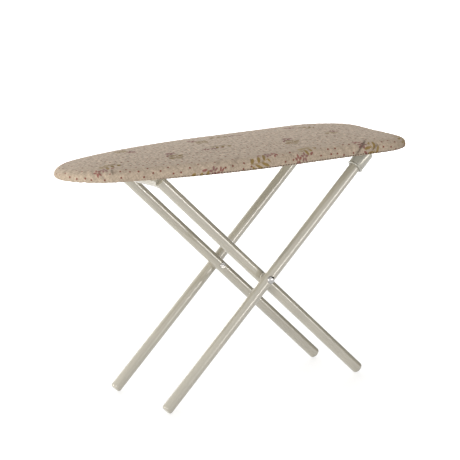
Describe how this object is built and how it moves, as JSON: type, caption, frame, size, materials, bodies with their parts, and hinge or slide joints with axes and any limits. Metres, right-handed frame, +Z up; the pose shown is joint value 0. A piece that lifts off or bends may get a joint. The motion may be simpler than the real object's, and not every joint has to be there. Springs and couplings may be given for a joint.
{
  "type": "miniature ironing board",
  "caption": "Toy-size folding ironing board: padded cotton cover on a steel tray, crossed round-rod legs with scissor rivets, a hinge under the tail and a sliding top bar under the nose.",
  "frame": {"origin": "on the floor, under the middle of the board", "axes": "+Z up, +X from the rounded nose to the square tail, +Y to the far side, away from the pictured side"},
  "size_m": [0.1598, 0.078, 0.106],
  "materials": {
    "powder_coat": "satin powder coat, warm stone grey",
    "ferrule_paint": "semi-gloss paint, stone grey",
    "bracket_steel": "satin powder coat over folded sheet",
    "axle_steel": "drawn steel wire",
    "rivet_chrome": "nickel plated, polished dome",
    "washer_nylon": "natural nylon",
    "cotton": "printed plain-weave cotton, matt",
    "foam": "open-cell foam pad",
    "elastic": "covered elastic cord"
  },
  "bodies": {
    "board": {"board_tray": "powder_coat", "foam_pad": "foam", "cotton_cover": "cotton", "hem_elastic": "elastic", "near_hinge_bracket": "bracket_steel", "far_hinge_bracket": "bracket_steel", "catch_bracket": "bracket_steel", "catch_rivets": "rivet_chrome"},
    "outer_frame": {"near_outer_leg": "powder_coat", "far_outer_leg": "powder_coat", "near_top_ferrule": "ferrule_paint", "far_top_ferrule": "ferrule_paint", "hinge_axle": "axle_steel", "near_scissor_rivet": "rivet_chrome", "far_scissor_rivet": "rivet_chrome"},
    "inner_frame": {"near_inner_leg": "powder_coat", "far_inner_leg": "powder_coat", "inner_top_bar": "powder_coat", "near_spacer_washer": "washer_nylon", "far_spacer_washer": "washer_nylon"}
  },
  "joints": [
    {"name": "outer_frame_fold", "type": "hinge", "parent": "board", "child": "outer_frame", "pos_m": [0.05534, 0, 0.09775], "axis": [0, 1, 0], "range_deg": [0, 40.3]},
    {"name": "scissor_fold", "type": "hinge", "parent": "outer_frame", "child": "inner_frame", "pos_m": [0.0041, 0, 0.0503], "axis": [0, 1, 0], "range_deg": [-83.38, 0]}
  ],
  "couplings": [
    {"joint": "scissor_fold", "follows": "outer_frame_fold", "ratio": -2.0686}
  ]
}
